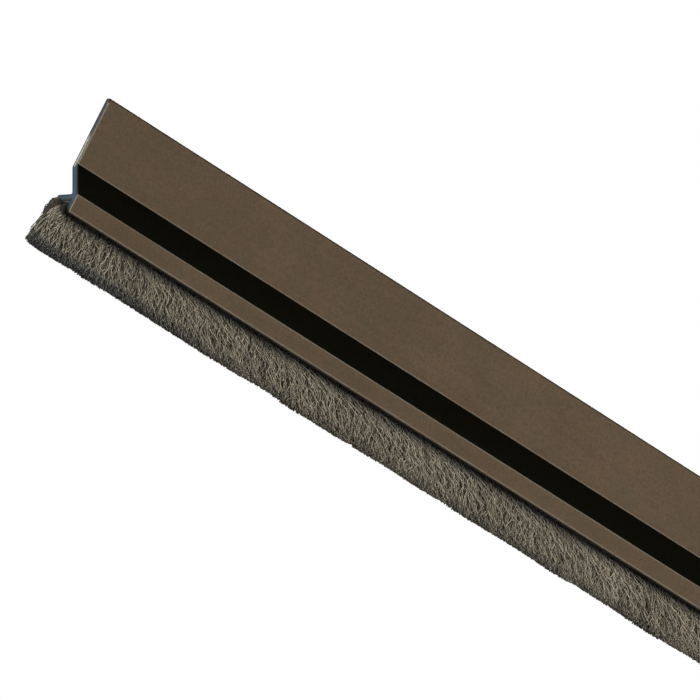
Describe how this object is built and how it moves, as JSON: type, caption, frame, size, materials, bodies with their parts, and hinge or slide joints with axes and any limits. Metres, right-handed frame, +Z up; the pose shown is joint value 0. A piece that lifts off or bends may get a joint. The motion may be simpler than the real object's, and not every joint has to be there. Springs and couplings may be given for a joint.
{
  "type": "door sweep",
  "caption": "Surface-mounted door sweep: a bronze-anodised aluminium carrier with a flat flange and a sloping web, holding a sliding woven pile seal.",
  "frame": {"origin": "centre of the flange's back face, the face that lies flat on the door", "axes": "+X along the sweep, +Y out of the flange's back face and into the door, +Z up the door; the pile hangs down towards -Z"},
  "size_m": [0.9174, 0.0127, 0.0508],
  "materials": {
    "bronze_anodised": "satin dark bronze anodising with bare saw-cut ends",
    "pile_yarn": "matt taupe spun pile",
    "woven_backing": "close woven tape",
    "backing_coat": "thin dried adhesive coat"
  },
  "bodies": {
    "carrier": {"carrier": "bronze_anodised"},
    "insert": {"backing_strip": "woven_backing", "back_coating": "backing_coat"},
    "pile": {"pile_row_front": "pile_yarn", "pile_row_front_middle": "pile_yarn", "pile_row_front_inner": "pile_yarn", "pile_row_rear_inner": "pile_yarn", "pile_row_rear_middle": "pile_yarn", "pile_row_rear": "pile_yarn"}
  },
  "joints": [
    {"name": "insert_slide", "type": "slide", "parent": "carrier", "child": "insert", "axis": [-1, 0, 0], "range_m": [-0.85, 0.85]},
    {"name": "pile_flex", "type": "hinge", "parent": "insert", "child": "pile", "pos_m": [0, -0.00635, -0.0263], "axis": [1, 0, 0], "range_deg": [-30, 30], "stiffness_Nm_per_rad": 0.4}
  ]
}
